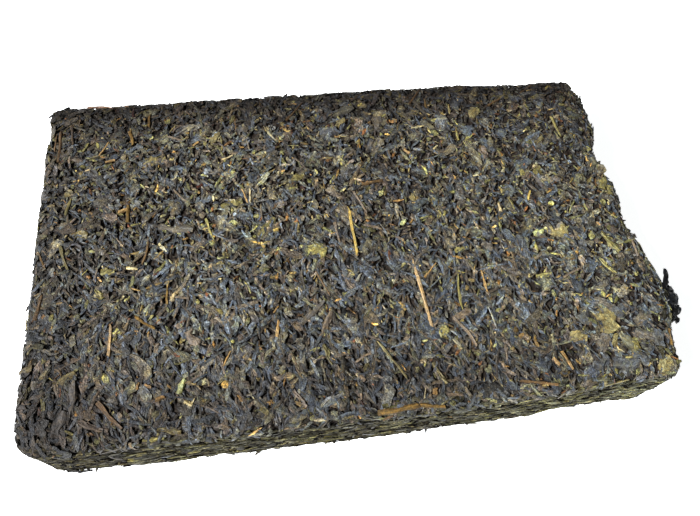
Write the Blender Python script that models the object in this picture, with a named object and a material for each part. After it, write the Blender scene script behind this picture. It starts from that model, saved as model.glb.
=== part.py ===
"""A pressed brick of dark fu tea, modelled as one solid slab.

The brick lies flat on its wide face. X is its length, Y its depth and Z its height. The origin is
under the middle of the solid's box, on the surface that the brick lies on. All sizes are metres.
"""

import math

import bmesh
import bpy
from mathutils import Vector, noise

# Driving dimensions of the pressed block, before its edges wear and tear.
LENGTH = 0.2416
DEPTH = 0.1490
HEIGHT = 0.0350

# Plan radius of each upright corner. The front left one is the most rubbed.
FRONT_LEFT_RADIUS = 0.0100
FRONT_RIGHT_RADIUS = 0.0070
BACK_RADIUS = 0.0045

# Wear round the top rim and the foot of the block.
RIM_RADIUS = 0.0032
RIM_STEPS = 3
FOOT_RADIUS = 0.0016
FOOT_STEPS = 2
CORNER_STEPS = 4

# The top sinks a little towards its rim, where the leaves are less tightly held.
RIM_SLUMP = 0.0013
RIM_SLUMP_REACH = 0.014

# The press leaves the long sides a little bowed.
BACK_BOW = 0.0015
FRONT_BOW = 0.0014

# The front wall draws in a little near its right end.
FRONT_HOLLOW_X = 0.098
FRONT_HOLLOW_HALF_WIDTH = 0.0190
FRONT_HOLLOW_IN = 0.0013

# Unevenness of the pressed leaf, as a height and the width of one swell.
TOP_SWELL = 0.0007
TOP_SWELL_WIDTH = 0.026
WALL_SWELL = 0.0005
WALL_SWELL_WIDTH = 0.013

# Shallow furrows that cross the top from front to back: place on X, depth and half width.
FURROWS = (
    (-0.033, 0.0005, 0.0045),
    (-0.004, 0.0009, 0.0050),
    (0.0165, 0.0007, 0.0045),
    (0.078, 0.0008, 0.0050),
)

# The right end is torn. Each entry is a place on Y, a half width and how far the wall stands out
# there, or in where that is negative.
RIGHT_END_TEARS = (
    (0.060, 0.0060, 0.0024),
    (0.046, 0.0060, 0.0034),
    (0.028, 0.0110, -0.0014),
    (0.009, 0.0080, 0.0018),
    (-0.022, 0.0090, 0.0040),
)

# One clump of leaves bulges from the right end: place on Y and Z, half widths and how far out.
CLUMP_Y = -0.041
CLUMP_Z = 0.026
CLUMP_HALF_WIDTH = 0.0110
CLUMP_HALF_HEIGHT = 0.0120
CLUMP_OUT = 0.0084

# A chip is missing high on the left end, near its back corner.
CHIP_Y = 0.060
CHIP_HALF_WIDTH = 0.0060
CHIP_IN = 0.0012

# Size of one facet of the flat stretches.
FACET = 0.0052

# Edges that turn by more than this stay crisp.
SHARP_DEGREES = 50

TEA_COLOUR = (0.060, 0.055, 0.045, 1.0)
TEA_ROUGHNESS = 0.62


def clear_scene():
    for thing in list(bpy.data.objects):
        bpy.data.objects.remove(thing, do_unlink=True)


def bell(distance, half_width):
    """A smooth bump of height 1 that reaches 0 at twice its half width."""
    reach = abs(distance) / (2 * half_width)
    return 0.0 if reach >= 1 else 0.5 + 0.5 * math.cos(math.pi * reach)


def swell(place, width, seed):
    """Gentle unevenness between about -1 and 1, the same on every run."""
    return noise.noise(place / width + Vector((seed, 2.7 * seed, -1.3 * seed))) * 1.6


def upright_edge(block, side_x, side_y):
    """The block's upright edge at the given signs of X and Y."""
    for edge in block.edges:
        low, high = edge.verts
        upright = abs(low.co.z - high.co.z) > HEIGHT / 2
        if upright and low.co.x * side_x > 0 and low.co.y * side_y > 0:
            return edge
    raise ValueError("no upright edge there")


def round_upright_corners(block):
    corners = (
        (-1, -1, FRONT_LEFT_RADIUS),
        (1, -1, FRONT_RIGHT_RADIUS),
        (-1, 1, BACK_RADIUS),
        (1, 1, BACK_RADIUS),
    )
    for side_x, side_y, radius in corners:
        bmesh.ops.bevel(
            block,
            geom=[upright_edge(block, side_x, side_y)],
            offset=radius,
            offset_type="OFFSET",
            affect="EDGES",
            segments=CORNER_STEPS,
            profile=0.5,
            material=-1,
        )


def round_ring(block, level, radius, steps):
    """Round the ring of edges that lies at one height."""
    ring = [e for e in block.edges if all(abs(v.co.z - level) < 1e-6 for v in e.verts)]
    bmesh.ops.bevel(
        block,
        geom=ring,
        offset=radius,
        offset_type="OFFSET",
        affect="EDGES",
        segments=steps,
        profile=0.5,
        material=-1,
    )


def even_cuts(low, high, facet):
    """Places that divide a stretch into equal parts no longer than a facet."""
    parts = math.ceil((high - low) / facet)
    return [low + (high - low) * step / parts for step in range(parts + 1)]


def divide_flat_stretches(block):
    """Cut the flat stretches into facets, clear of the rounded corners and rims."""
    left = -LENGTH / 2 + FRONT_LEFT_RADIUS
    right = LENGTH / 2 - FRONT_RIGHT_RADIUS
    front = -DEPTH / 2 + FRONT_LEFT_RADIUS
    back = DEPTH / 2 - BACK_RADIUS
    cuts = [(Vector((x, 0, 0)), Vector((1, 0, 0))) for x in even_cuts(left, right, FACET)]
    cuts += [(Vector((0, y, 0)), Vector((0, 1, 0))) for y in even_cuts(front, back, FACET)]
    levels = even_cuts(FOOT_RADIUS, HEIGHT - RIM_RADIUS, FACET)[1:-1]
    cuts += [(Vector((0, 0, z)), Vector((0, 0, 1))) for z in levels]
    for place, normal in cuts:
        everything = block.verts[:] + block.edges[:] + block.faces[:]
        bmesh.ops.bisect_plane(block, geom=everything, plane_co=place, plane_no=normal, dist=1e-6)


def join_underside(block):
    """Make the flat underside one face again."""
    under = [f for f in block.faces if all(abs(v.co.z) < 1e-6 for v in f.verts)]
    bmesh.ops.dissolve_faces(block, faces=under, use_verts=False)


def wall_offset(place):
    """How far the wall moves outwards at a point of it, on X and on Y."""
    share_x = place.x / (LENGTH / 2)
    share_y = place.y / (DEPTH / 2)
    move_x = 0.0
    move_y = 0.0
    if share_y > 0:
        move_y += BACK_BOW * (1 - share_x**2) * share_y**4
    else:
        hollow = FRONT_HOLLOW_IN * bell(place.x - FRONT_HOLLOW_X, FRONT_HOLLOW_HALF_WIDTH)
        move_y += (hollow - FRONT_BOW * (1 - share_x**2)) * share_y**4
    if share_x > 0:
        out = sum(rise * bell(place.y - y, half) for y, half, rise in RIGHT_END_TEARS)
        clump = bell(place.y - CLUMP_Y, CLUMP_HALF_WIDTH)
        clump *= bell(place.z - CLUMP_Z, CLUMP_HALF_HEIGHT)
        move_x += (out + CLUMP_OUT * clump) * share_x**24
    else:
        move_x += CHIP_IN * bell(place.y - CHIP_Y, CHIP_HALF_WIDTH) * share_x**24
    return move_x, move_y


def top_drop(place):
    """How far the top surface lies below its full height at a point of it."""
    edge_x = LENGTH / 2 - abs(place.x)
    edge_y = DEPTH / 2 - abs(place.y)
    inset = max(0.0, min(edge_x, edge_y))
    slump = RIM_SLUMP * max(0.0, 1 - inset / RIM_SLUMP_REACH) ** 2
    furrow = sum(depth * bell(place.x - x, half) for x, depth, half in FURROWS)
    return slump + furrow - TOP_SWELL * swell(place, TOP_SWELL_WIDTH, 4.0)


def press_and_wear(block):
    """Give the plain block the uneven outline and top of the pressed brick."""
    for vert in block.verts:
        place = vert.co.copy()
        height_share = place.z / HEIGHT
        move_x, move_y = wall_offset(place)
        vert.co.x += move_x
        vert.co.y += move_y
        near_wall = max(abs(place.x) / (LENGTH / 2), abs(place.y) / (DEPTH / 2)) ** 16
        outward = Vector((place.x / LENGTH, place.y / DEPTH, 0)).normalized()
        vert.co += outward * (WALL_SWELL * near_wall * swell(place, WALL_SWELL_WIDTH, 9.0))
        vert.co.z -= top_drop(place) * height_share**3


def centre_on_box(block):
    """Put the origin under the middle of the solid's box, on its underside."""
    xs = [v.co.x for v in block.verts]
    ys = [v.co.y for v in block.verts]
    zs = [v.co.z for v in block.verts]
    middle = Vector(((min(xs) + max(xs)) / 2, (min(ys) + max(ys)) / 2, min(zs)))
    bmesh.ops.translate(block, verts=block.verts, vec=-middle)


def tea_material():
    material = bpy.data.materials.new("pressed_tea")
    material.use_nodes = True
    shader = material.node_tree.nodes["Principled BSDF"]
    shader.inputs["Base Color"].default_value = TEA_COLOUR
    shader.inputs["Roughness"].default_value = TEA_ROUGHNESS
    shader.inputs["Metallic"].default_value = 0.0
    return material


def tea_brick():
    block = bmesh.new()
    bmesh.ops.create_cube(block, size=1.0)
    bmesh.ops.scale(block, verts=block.verts, vec=(LENGTH, DEPTH, HEIGHT))
    bmesh.ops.translate(block, verts=block.verts, vec=(0, 0, HEIGHT / 2))
    round_upright_corners(block)
    round_ring(block, HEIGHT, RIM_RADIUS, RIM_STEPS)
    round_ring(block, 0.0, FOOT_RADIUS, FOOT_STEPS)
    divide_flat_stretches(block)
    join_underside(block)
    press_and_wear(block)
    centre_on_box(block)
    bmesh.ops.triangulate(block, faces=block.faces)
    bmesh.ops.recalc_face_normals(block, faces=block.faces)
    mesh = bpy.data.meshes.new("tea_brick")
    block.to_mesh(mesh)
    block.free()
    mesh.materials.append(tea_material())
    mesh.shade_smooth()
    mesh.set_sharp_from_angle(angle=math.radians(SHARP_DEGREES))
    brick = bpy.data.objects.new("tea_brick", mesh)
    bpy.context.scene.collection.objects.link(brick)
    return brick


clear_scene()
tea_brick()
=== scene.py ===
# %% [markdown]
# # A pressed brick of dark tea
# The brick is thousands of rolled leaves, torn flakes and stalks that a press has squeezed into a
# slab. The solid model gives its outline. Here that solid is hidden, a slightly smaller dark core
# takes its place, and real leaf is laid over the core, one kind of leaf at a time.

# %% Load the frame
import math

import bmesh
import bpy
import numpy as np
from mathutils import Matrix, Vector, noise
from mathutils.bvhtree import BVHTree


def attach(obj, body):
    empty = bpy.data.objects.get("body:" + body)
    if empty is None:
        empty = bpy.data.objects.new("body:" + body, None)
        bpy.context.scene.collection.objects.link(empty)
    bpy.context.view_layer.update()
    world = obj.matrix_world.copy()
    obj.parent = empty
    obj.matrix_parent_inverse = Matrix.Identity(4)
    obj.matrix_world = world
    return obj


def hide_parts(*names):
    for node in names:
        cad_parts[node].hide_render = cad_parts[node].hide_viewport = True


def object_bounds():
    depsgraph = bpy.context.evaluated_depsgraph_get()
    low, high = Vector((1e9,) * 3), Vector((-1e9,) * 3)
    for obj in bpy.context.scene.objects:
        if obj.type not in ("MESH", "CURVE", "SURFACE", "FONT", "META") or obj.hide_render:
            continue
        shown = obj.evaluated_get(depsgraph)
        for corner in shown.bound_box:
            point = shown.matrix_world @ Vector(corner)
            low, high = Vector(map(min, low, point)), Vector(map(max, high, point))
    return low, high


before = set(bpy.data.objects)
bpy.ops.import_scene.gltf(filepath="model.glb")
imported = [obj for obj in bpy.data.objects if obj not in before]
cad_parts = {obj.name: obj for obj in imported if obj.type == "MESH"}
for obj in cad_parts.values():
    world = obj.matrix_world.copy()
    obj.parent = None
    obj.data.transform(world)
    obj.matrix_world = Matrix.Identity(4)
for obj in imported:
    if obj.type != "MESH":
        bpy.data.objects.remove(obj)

cad_low, cad_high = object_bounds()
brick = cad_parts["tea_brick"]
size = cad_high - cad_low
print("brick size in mm:", [round(1000 * side, 1) for side in size])

# %% [markdown]
# ## Camera
# The view looks down on the brick from the front, a little from the left. A camera is easiest to
# aim with three turns: the heading round the upright axis, the tilt below the horizon, and the roll
# round its own line of sight. The lens is short, so the near side of the brick looks larger.

# %% Camera
MM = 0.001
HEADING, TILT_DOWN, ROLL = 14.94, 62.10, 8.02
CAMERA_PLACE = Vector((-31.8, -120.5, 245.7)) * MM
LENS_MM = 31.03

camera_data = bpy.data.cameras.new("camera")
camera_data.lens = LENS_MM
camera_data.sensor_width = 36
camera_data.clip_start = 0.01
camera = bpy.data.objects.new("camera", camera_data)
aim = Matrix.Rotation(math.radians(-HEADING), 4, "Z")
aim = aim @ Matrix.Rotation(math.radians(90 - TILT_DOWN), 4, "X")
aim = aim @ Matrix.Rotation(math.radians(ROLL), 4, "Z")
camera.matrix_world = Matrix.Translation(CAMERA_PLACE) @ aim
bpy.context.scene.collection.objects.link(camera)
bpy.context.scene.camera = camera
print("camera looks along", [round(v, 3) for v in -aim.col[2].xyz])

# %% [markdown]
# ## Table
# The brick lies on a pale table, which glows a little and throws light back onto the walls. It is
# only staging.

# %% Table
TABLE_HALF_WIDTH = 3.0
TABLE_COLOUR = (0.93, 0.945, 0.945, 1)
TABLE_GLOW = (0.985, 1.0, 0.995, 1)
TABLE_GLOW_STRENGTH = 0.85


def link(thing):
    bpy.context.scene.collection.objects.link(thing)
    return thing


def make_table():
    shape = bmesh.new()
    bmesh.ops.create_grid(shape, x_segments=2, y_segments=2, size=TABLE_HALF_WIDTH)
    mesh = bpy.data.meshes.new("table")
    shape.to_mesh(mesh)
    shape.free()
    finish = bpy.data.materials.new("white_table")
    finish.use_nodes = True
    shader = finish.node_tree.nodes["Principled BSDF"]
    shader.inputs["Base Color"].default_value = TABLE_COLOUR
    shader.inputs["Roughness"].default_value = 0.7
    shader.inputs["Specular IOR Level"].default_value = 0.2
    shader.inputs["Emission Color"].default_value = TABLE_GLOW
    shader.inputs["Emission Strength"].default_value = TABLE_GLOW_STRENGTH
    mesh.materials.append(finish)
    table = link(bpy.data.objects.new("table", mesh))
    print("table is", 2 * TABLE_HALF_WIDTH, "m wide")


make_table()

# %% [markdown]
# ## Lamp and room
# Dark leaf shows its form through its sheen more than through its colour. One lamp stands far off
# to the left and a little in front. From so far its light is even over the whole brick, and from
# so low it rakes the leaf, which is bright on the side that faces it. The room adds a weak, even
# light.

# %% Lamp and room
LAMP_PLACE = (-3.20, -0.90, 2.90)
LAMP_TARGET = (0.02, 0, 0)
LAMP_WIDTH = 0.85
LAMP_POWER = 790.0
ROOM_COLOUR = (0.98, 0.99, 1.0, 1)
ROOM_STRENGTH = 0.18


def make_lamp():
    lamp = bpy.data.lights.new("top_lamp", "AREA")
    lamp.shape = "SQUARE"
    lamp.size = LAMP_WIDTH
    lamp.energy = LAMP_POWER
    stand = link(bpy.data.objects.new("top_lamp", lamp))
    stand.location = LAMP_PLACE
    aim_at = Vector(LAMP_TARGET) - Vector(LAMP_PLACE)
    stand.rotation_euler = aim_at.to_track_quat("-Z", "Y").to_euler()
    print("lamp stands", round(aim_at.length, 2), "m away")


def make_room():
    room = bpy.data.worlds.new("room")
    room.use_nodes = True
    light = room.node_tree.nodes["Background"]
    light.inputs["Color"].default_value = ROOM_COLOUR
    light.inputs["Strength"].default_value = ROOM_STRENGTH
    bpy.context.scene.world = room


make_lamp()
make_room()
bpy.context.scene.view_settings.view_transform = "Standard"

# %% [markdown]
# ## Writing a finish as sums
# A node tree is easier to read as arithmetic. `Value` wraps one socket, so that `a * 0.5 + b` adds
# the Math nodes by itself.

# %% Sums of sockets
class Value:
    """A number that varies over the surface."""

    def __init__(self, finish, socket):
        self.finish = finish
        self.socket = socket

    def sum_with(self, operation, first, second):
        return self.finish.node(
            "ShaderNodeMath", {"operation": operation}, {0: first, 1: second}
        )

    def __add__(self, other):
        return self.sum_with("ADD", self, other)

    def __radd__(self, other):
        return self.sum_with("ADD", other, self)

    def __sub__(self, other):
        return self.sum_with("SUBTRACT", self, other)

    def __rsub__(self, other):
        return self.sum_with("SUBTRACT", other, self)

    def __mul__(self, other):
        return self.sum_with("MULTIPLY", self, other)

    def __rmul__(self, other):
        return self.sum_with("MULTIPLY", other, self)


print("Value adds, subtracts and multiplies sockets and numbers")

# %% [markdown]
# `Finish` holds one material. Its `node` method is the only place where a node is made: it sets the
# node's own settings first, and then gives each socket a value or a link.

# %% One material
def set_stops(ramp, stops):
    """Give a colour ramp its stops, each a place and a colour."""
    while len(ramp.elements) < len(stops):
        ramp.elements.new(1.0)
    for element, (place, shade) in zip(ramp.elements, stops):
        element.position = place
        element.color = (*shade, 1.0)


class Finish:
    """One material, whose Principled shader is filled in piece by piece."""

    def __init__(self, name):
        self.material = bpy.data.materials.new(name)
        self.material.use_nodes = True
        self.tree = self.material.node_tree
        self.shader = self.tree.nodes["Principled BSDF"]

    def feed(self, socket, value):
        if isinstance(value, Value):
            self.tree.links.new(value.socket, socket)
        else:
            socket.default_value = value

    def node(self, kind, settings=None, inputs=None, output=0):
        made = self.tree.nodes.new(kind)
        for name, value in (settings or {}).items():
            if name == "stops":
                set_stops(made.color_ramp, value)
            else:
                setattr(made, name, value)
        for key, value in (inputs or {}).items():
            self.feed(made.inputs[key], value)
        return Value(self, made.outputs[output])

    def set(self, **values):
        for name, value in values.items():
            self.feed(self.shader.inputs[name.replace("_", " ")], value)

    def noise(self, at, scale, detail, **more):
        """Cloudy noise between about 0 and 1."""
        inputs = {"Vector": at, "Scale": scale, "Detail": detail, **more}
        return self.node("ShaderNodeTexNoise", inputs=inputs)

    def blend(self, share, first, second, way="MIX"):
        """Two colours mixed by a share, or by one of the Mix node's other ways."""
        return self.node(
            "ShaderNodeMix",
            {"data_type": "RGBA", "blend_type": way},
            {"Factor": share, 6: first, 7: second},
            output=2,
        )

    def smooth(self, value, low, high, at_low=0.0, at_high=1.0):
        """A soft step from one output to another as the value passes from low to high."""
        ends = {"From Min": low, "From Max": high, "To Min": at_low, "To Max": at_high}
        return self.node(
            "ShaderNodeMapRange", {"interpolation_type": "SMOOTHSTEP"}, {"Value": value, **ends}
        )

    def away_from_half(self, value):
        """Zero along the lines where noise passes one half, which look like creases."""
        return self.node("ShaderNodeMath", {"operation": "ABSOLUTE"}, {0: value - 0.5})

    def bumps(self, height, strength, distance):
        inputs = {"Height": height, "Strength": strength, "Distance": distance}
        normal = self.node("ShaderNodeBump", inputs=inputs)
        self.tree.links.new(normal.socket, self.shader.inputs["Normal"])


print("Finish makes nodes of every kind through one method")

# %% [markdown]
# ## Finish of the leaf
# Every leaf has a tone of its own, kept as a colour attribute of the joined mesh, so that one
# material serves thousands of leaves; the attribute also carries each point's painted light and
# shade. The second UV map, `grain`, runs along each leaf, and painted shade darkens the creases
# that follow it. Noise on Object coordinates adds wrinkles with painted light and shade on their
# folds, specks, warmer and cooler patches and a golden dust, which runs on from leaf to leaf. The
# attribute's alpha holds the painted light and shade alone, and it also scales a thin, soft gloss,
# so that the gloss fades where shade is painted and is strongest on raised, open leaf.

# %% Leaf finish
# How fine each kind of noise is, as a scale on Object coordinates in metres.
WRINKLE_SCALE, PATCH_SCALE, GRIT_SCALE, HUE_SCALE = 900.0, 300.0, 2600.0, 750.0
CREASE_WIDTH, WRINKLE_WIDTH, CREASE_DARKNESS = 0.055, 0.035, 0.80
GOLDEN_DUST = (3.4, 3.1, 1.5, 1)


def leaf_finish(name, roughness, relief, across=6.5, along=2.0, dusting=0.28, gloss=0.18,
                stretch=(1, 1, 1), specular=0.20, contrast=1.0, coat_roughness=0.42):
    leaf = Finish(name)
    tone = leaf.node("ShaderNodeAttribute", {"attribute_name": "tone"})
    # The tone's alpha: the painted light and shade alone, which also scales the gloss.
    light_and_shade_alpha = leaf.node("ShaderNodeAttribute", {"attribute_name": "tone"}, output=3)
    grain = leaf.node("ShaderNodeUVMap", {"uv_map": "grain"})
    grain = leaf.node("ShaderNodeMapping", inputs={"Vector": grain, "Scale": (across, along, 1)})
    place = leaf.node("ShaderNodeTexCoord", output=3)
    place = leaf.node("ShaderNodeMapping", inputs={"Vector": place, "Scale": stretch})
    veins = leaf.noise(grain, 1.0, 2.0)
    wrinkles = leaf.noise(place, WRINKLE_SCALE, 2.0, Distortion=0.6)
    patches = leaf.noise(place, PATCH_SCALE, 3.0)
    grit = leaf.noise(place, GRIT_SCALE, 1.0)
    hues = leaf.noise(place, HUE_SCALE, 2.0)

    # Painted shade in the creases, and painted light and shade over the folds.
    long_creases = leaf.away_from_half(veins)
    cross_creases = leaf.away_from_half(wrinkles)
    open_leaf = leaf.smooth(long_creases, 0.0, CREASE_WIDTH)
    open_leaf = open_leaf * leaf.smooth(cross_creases, 0.0, WRINKLE_WIDTH)
    folds = leaf.smooth(
        veins * 0.6 + wrinkles * 0.4, 0.32, 0.68, 1 - 0.4 * contrast, 1 + 0.5 * contrast
    )
    specks = leaf.smooth(grit, 0.32, 0.68, 1 - 0.35 * contrast, 1 + 0.38 * contrast)
    creased = CREASE_DARKNESS * contrast
    light = (1 - creased + creased * open_leaf) * folds * specks
    warm = leaf.smooth(hues, 0.35, 0.65, 0.0, 1.0)
    shade = leaf.node(
        "ShaderNodeCombineColor",
        inputs={0: light * (0.94 + 0.14 * warm), 1: light, 2: light * (1.17 - 0.31 * warm)},
    )
    dusty = leaf.smooth(patches, 0.50, 0.70, 0.0, dusting)
    dusted = leaf.blend(dusty, tone, leaf.blend(1.0, tone, GOLDEN_DUST, way="MULTIPLY"))
    leaf.set(Base_Color=leaf.blend(1.0, dusted, shade, way="MULTIPLY"))
    leaf.set(Roughness=roughness + 0.35 * (patches - 0.5))
    leaf.set(Specular_IOR_Level=specular, Coat_Roughness=coat_roughness)
    leaf.set(Coat_Weight=light_and_shade_alpha * gloss * (0.15 + 0.85 * open_leaf))
    leaf.bumps(long_creases * 0.8 + cross_creases * 0.8 + veins * 0.5 + grit * 0.25, 1.0, relief)
    return leaf.material


print("a wrinkle is about", round(1000 / WRINKLE_SCALE, 1), "mm wide")

# %% [markdown]
# The same finish serves every kind of leaf, with other numbers. Rolled leaf has long creases, open
# leaf few, stalks are smoother, and the shiny black leaf has a tight, bright gloss.

# %% Finishes of each kind of leaf
shred_finish = leaf_finish("rolled_leaf", roughness=0.60, relief=0.0007)
flake_finish = leaf_finish("torn_leaf", roughness=0.62, relief=0.0006, across=5.0, along=2.2)
broad_finish = leaf_finish("broad_leaf", roughness=0.62, relief=0.0006, across=11.0, along=7.0)
open_finish = leaf_finish(
    "open_leaf", roughness=0.66, relief=0.0003, across=7.0, along=4.0, dusting=0.08, contrast=0.75
)
stalk_finish = leaf_finish(
    "dry_stalk", roughness=0.60, relief=0.0004, dusting=0.05, gloss=0.08, contrast=0.75
)
wall_finish = leaf_finish(
    "layered_leaf", roughness=0.75, relief=0.0006, gloss=0.08, stretch=(0.5, 0.5, 1.7),
    specular=0.08,
)
wet_black_finish = leaf_finish(
    "shiny_black_leaf", roughness=0.32, relief=0.0003, dusting=0.0, gloss=0.5, specular=0.10,
    coat_roughness=0.14,
)
print("materials so far:", [m.name for m in bpy.data.materials])

# %% [markdown]
# ## Forms
# A form is one small shape that is laid down many times. `Form` takes a finished bmesh shape and
# keeps its points, its faces and a UV place for each corner as arrays, ready to be copied.

# %% Forms as arrays
class Form:
    """One leaf shape of unit size: points, faces and the UV place of every corner."""

    def __init__(self, shape):
        place = shape.loops.layers.uv["place"]
        shape.verts.index_update()
        self.points = np.array([v.co for v in shape.verts])
        self.corners = np.array([c.vert.index for f in shape.faces for c in f.loops])
        self.counts = np.array([len(f.verts) for f in shape.faces])
        self.uv = np.array([c[place].uv for f in shape.faces for c in f.loops])
        rings = shape.verts.layers.int["ring"]
        self.rings = np.array([v[rings] for v in shape.verts])
        shape.free()


print("Form keeps points, corners, counts, uv and rings")

# %% [markdown]
# Each form starts as a rod: a cone from bmesh, cut across its length. Every point knows its side
# and its ring, and a formula moves it. The sides unroll into a strip of UV places, and the two ends
# lie at its ends.

# %% Rods and their UV places
def rod(sides, spans):
    """A rod of length 1 and thickness 1 along X, cut across into spans."""
    shape = bmesh.new()
    bmesh.ops.create_cone(
        shape, cap_ends=True, segments=sides, radius1=0.5, radius2=0.5, depth=1.0
    )
    long_edges = [e for e in shape.edges if abs(e.verts[0].co.z - e.verts[1].co.z) > 0.5]
    bmesh.ops.subdivide_edges(shape, edges=long_edges, cuts=spans - 1)
    bmesh.ops.rotate(shape, verts=shape.verts, matrix=Matrix.Rotation(math.pi / 2, 3, "Y"))
    side_of = shape.verts.layers.int.new("side")
    ring_of = shape.verts.layers.int.new("ring")
    for vert in shape.verts:
        turn = math.atan2(vert.co.z, vert.co.y) / math.tau
        vert[side_of] = round(turn * sides) % sides
        vert[ring_of] = round((vert.co.x + 0.5) * spans)
    place = shape.loops.layers.uv.new("place")
    for face in shape.faces:
        is_end = len({v[ring_of] for v in face.verts}) == 1
        seam = {v[side_of] for v in face.verts} == {0, sides - 1}
        for corner in face.loops:
            at = corner.vert
            across = (sides if seam and at[side_of] == 0 else at[side_of]) / sides
            if is_end:
                far_end = at.co.x > 0
                corner[place].uv = (0.5 + 0.9 * at.co.y, 0.03 + 0.05 * at.co.z + 0.94 * far_end)
            else:
                corner[place].uv = (across, 0.07 + 0.86 * at[ring_of] / spans)
    return shape, side_of, ring_of


def wander(draw, steps, size):
    """A smooth random curve with the given number of values."""
    rough = draw.normal(0, size, steps + 2)
    return (rough[:-2] + 2 * rough[1:-1] + rough[2:]) / 2.5


print("a rod of 5 sides and 6 spans has", len(Form(rod(5, 6)[0]).points), "points")

# %% [markdown]
# ### Rolled shreds
# Tea leaf is rolled lengthwise before it is pressed, so most of it is short twisted strands with
# thin ends and creases along them. The rod's section is crumpled, flattened and twisted, and its
# middle line weaves up and down and sideways.

# %% Rolled shreds
def rolled_shred(draw, sides=5, spans=6, twist=1.4, flatness=0.7, weave=0.13, crumple=0.20,
                 blunt=(0.20, 0.65)):
    """A twisted strand. Its ends keep a share of its thickness between the two of blunt."""
    shape, side_of, ring_of = rod(sides, spans)
    ridges = draw.uniform(0.70, 1.25, sides)
    crumples = 1 + draw.normal(0, crumple, (spans + 1, sides))
    tips = draw.uniform(*blunt, 2)
    lean, start = draw.normal(0, twist), draw.uniform(0, math.tau)
    sideways, upright = wander(draw, spans + 1, weave), wander(draw, spans + 1, weave)
    for vert in shape.verts:
        x, y, z = vert.co
        side, ring = vert[side_of], vert[ring_of]
        tip = tips[int(x > 0)]
        swell = tip + (1 - tip) * (1 - abs(2 * x) ** 2.2)
        reach = ridges[side] * crumples[ring, side] * swell
        angle = start + lean * x
        wide = reach * (y * math.cos(angle) - z * math.sin(angle))
        high = reach * (y * math.sin(angle) + z * math.cos(angle)) * flatness
        vert.co = (x, wide + sideways[ring], high + upright[ring])
    return Form(shape)


def curl(points, hook, slenderness):
    """Bend a strand along X into an arc in its own plane, keeping its length."""
    x, y, z = points.T
    radius = 1 / hook
    y = y * slenderness
    bent_x = (radius - y) * np.sin(x * hook)
    bent_y = radius - (radius - y) * np.cos(x * hook)
    return np.stack([bent_x, bent_y - bent_y.mean(), z], 1)


print("a shred has", len(rolled_shred(np.random.default_rng(1)).counts), "faces")

# %% [markdown]
# ### Blades
# Broken leaf lies flat in the slab. A blade is a rod whose upper points are spread out into a
# creased sheet, with one keel point below that stays buried. Its two margins are torn unevenly.

# %% Blades
def blade(draw, columns=4, spans=5, blunt=0.6, ragged=0.18, crease=0.5):
    sides = columns + 1
    shape, side_of, ring_of = rod(sides, spans)
    margins = 1 + wander(draw, spans + 1, ragged), 1 + wander(draw, spans + 1, ragged)
    creases = draw.normal(0, crease, (spans + 1, columns))
    tips = draw.uniform(0.4 * blunt, blunt, 2)
    dish, lift, drift = draw.normal(0, 0.8), draw.normal(0, 0.8), wander(draw, spans + 1, 0.06)
    for vert in shape.verts:
        x = vert.co.x
        side, ring = vert[side_of], vert[ring_of]
        tip = tips[int(x > 0)]
        half = 0.5 * (tip + (1 - tip) * (1 - abs(2 * x) ** 2.0))
        if side == columns:
            vert.co = (0.92 * x, drift[ring], -0.9)
            continue
        across = 1 - 2 * side / (columns - 1)
        margin = margins[int(across > 0)][ring]
        y = across * half * margin + drift[ring]
        z = 0.5 - 0.8 * abs(across) ** 3 + creases[ring, side] + dish * (y * y - 0.1) + lift * y
        vert.co = (x, y, z)
    return Form(shape)


print("a blade has", len(blade(np.random.default_rng(1)).counts), "faces")

# %% [markdown]
# ### Stalks
# Stalks are straighter than leaf, round, and the palest thing in the brick. A rod with six sides
# swells where a leaf once grew.

# %% Stalks
def stalk(draw, sides=6, spans=6):
    shape, side_of, ring_of = rod(sides, spans)
    knot = draw.integers(1, spans)
    sideways = wander(draw, spans + 1, 0.10)
    ridges = draw.uniform(0.80, 1.15, sides)
    taper, slant = draw.uniform(0.1, 0.6), draw.normal(0, 0.10, 2)
    for vert in shape.verts:
        x, y, z = vert.co
        side, ring = vert[side_of], vert[ring_of]
        reach = ridges[side] * (1.0 + 0.25 * (ring == knot) - taper * x)
        is_end = abs(x) > 0.49
        x += is_end * slant[int(x > 0)] * y
        vert.co = (x, y * reach + sideways[ring], z * reach * 0.85)
    return Form(shape)


print("a stalk has", len(stalk(np.random.default_rng(1)).counts), "faces")

# %% [markdown]
# ## The skin of the brick
# Leaves have to know where the brick's surface is. A BVH tree of the solid answers that: a straight
# line shot at it gives the point it meets and the way the surface faces there.

# %% The skin
skin_mesh = bmesh.new()
skin_mesh.from_mesh(brick.data)
bmesh.ops.remove_doubles(skin_mesh, verts=skin_mesh.verts, dist=1e-6)
skin = BVHTree.FromBMesh(skin_mesh)
FAR = 0.3
AWAY = 0.05
middle = (np.array(cad_low) + np.array(cad_high)) / 2


def shoot(starts, ways):
    """Where each line meets the skin, and the normal there. Lines that miss are left out."""
    hits = [skin.ray_cast(Vector(s), Vector(w), FAR) for s, w in zip(starts, ways)]
    points = np.array([hit[0] for hit in hits if hit[0] is not None])
    normals = np.array([hit[1] for hit in hits if hit[0] is not None])
    return points, normals


print("the skin has", len(skin_mesh.faces), "triangles")

# %% [markdown]
# Places are spread evenly but not in rows: a grid gives each leaf a cell, and the leaf takes a
# random place in it. The grid is then dropped on the top, raised to the underside, or wrapped round
# the four walls.

# %% Places on the skin
def spread(count, draw, low, high):
    """Evenly spread random places in a rectangle: one in each cell of a grid."""
    wide, deep = high[0] - low[0], high[1] - low[1]
    across = max(1, round(math.sqrt(count * wide / deep)))
    along = max(1, round(count / across))
    column, row = np.meshgrid(np.arange(across), np.arange(along))
    cells = np.stack([column.ravel(), row.ravel()], 1)
    shares = (cells + draw.uniform(0, 1, cells.shape)) / (across, along)
    places = np.array(low) + shares * (wide, deep)
    draw.shuffle(places)
    return places


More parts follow.
